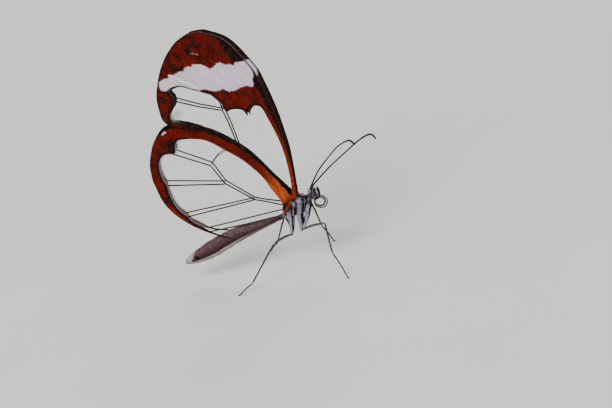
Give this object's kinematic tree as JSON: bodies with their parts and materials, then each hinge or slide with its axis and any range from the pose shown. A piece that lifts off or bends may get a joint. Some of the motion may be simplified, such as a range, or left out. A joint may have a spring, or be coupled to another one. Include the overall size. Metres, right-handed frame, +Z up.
{
  "type": "glasswing butterfly",
  "caption": "Life-size glasswing butterfly at rest, clear wings with red-brown borders closed over its back, tongue coiled.",
  "frame": {"origin": "middle of the model's outline from above, on the level its feet stand on", "axes": "+X towards the head, +Y the butterfly's left side, +Z up"},
  "size_m": [0.032, 0.0134, 0.0364],
  "materials": {
    "dark_scales": "dark purple-brown body scales, matt",
    "lilac_hair": "fine lilac-grey and black body hair",
    "eye_glossy": "dark faceted eye, glossy, with a pale ring",
    "horn_black": "black horn of feelers and tongue, half-matt",
    "leg_brown": "purple-brown leg scales over horn",
    "wing_membrane": "clear thin membrane between red-brown scaled borders and dark veins, white band near the tip"
  },
  "bodies": {
    "root": {"abdomen": "dark_scales", "antenna_left": "horn_black", "antenna_right": "horn_black", "eye_left": "eye_glossy", "eye_right": "eye_glossy", "foreleg_left": "lilac_hair", "foreleg_right": "lilac_hair", "forewing_left": "wing_membrane", "forewing_right": "wing_membrane", "head": "lilac_hair", "hindleg_left_coxa": "lilac_hair", "hindleg_left_femur": "leg_brown", "hindleg_left_tarsus": "leg_brown", "hindleg_left_tibia": "leg_brown", "hindleg_right_coxa": "lilac_hair", "hindleg_right_femur": "leg_brown", "hindleg_right_tarsus": "leg_brown", "hindleg_right_tibia": "leg_brown", "hindwing_left": "wing_membrane", "hindwing_right": "wing_membrane", "midleg_left_coxa": "lilac_hair", "midleg_left_femur": "leg_brown", "midleg_left_tarsus": "leg_brown", "midleg_left_tibia": "leg_brown", "midleg_right_coxa": "lilac_hair", "midleg_right_femur": "leg_brown", "midleg_right_tarsus": "leg_brown", "midleg_right_tibia": "leg_brown", "palp_left": "dark_scales", "palp_right": "dark_scales", "proboscis": "horn_black", "thorax": "lilac_hair"}
  },
  "joints": []
}
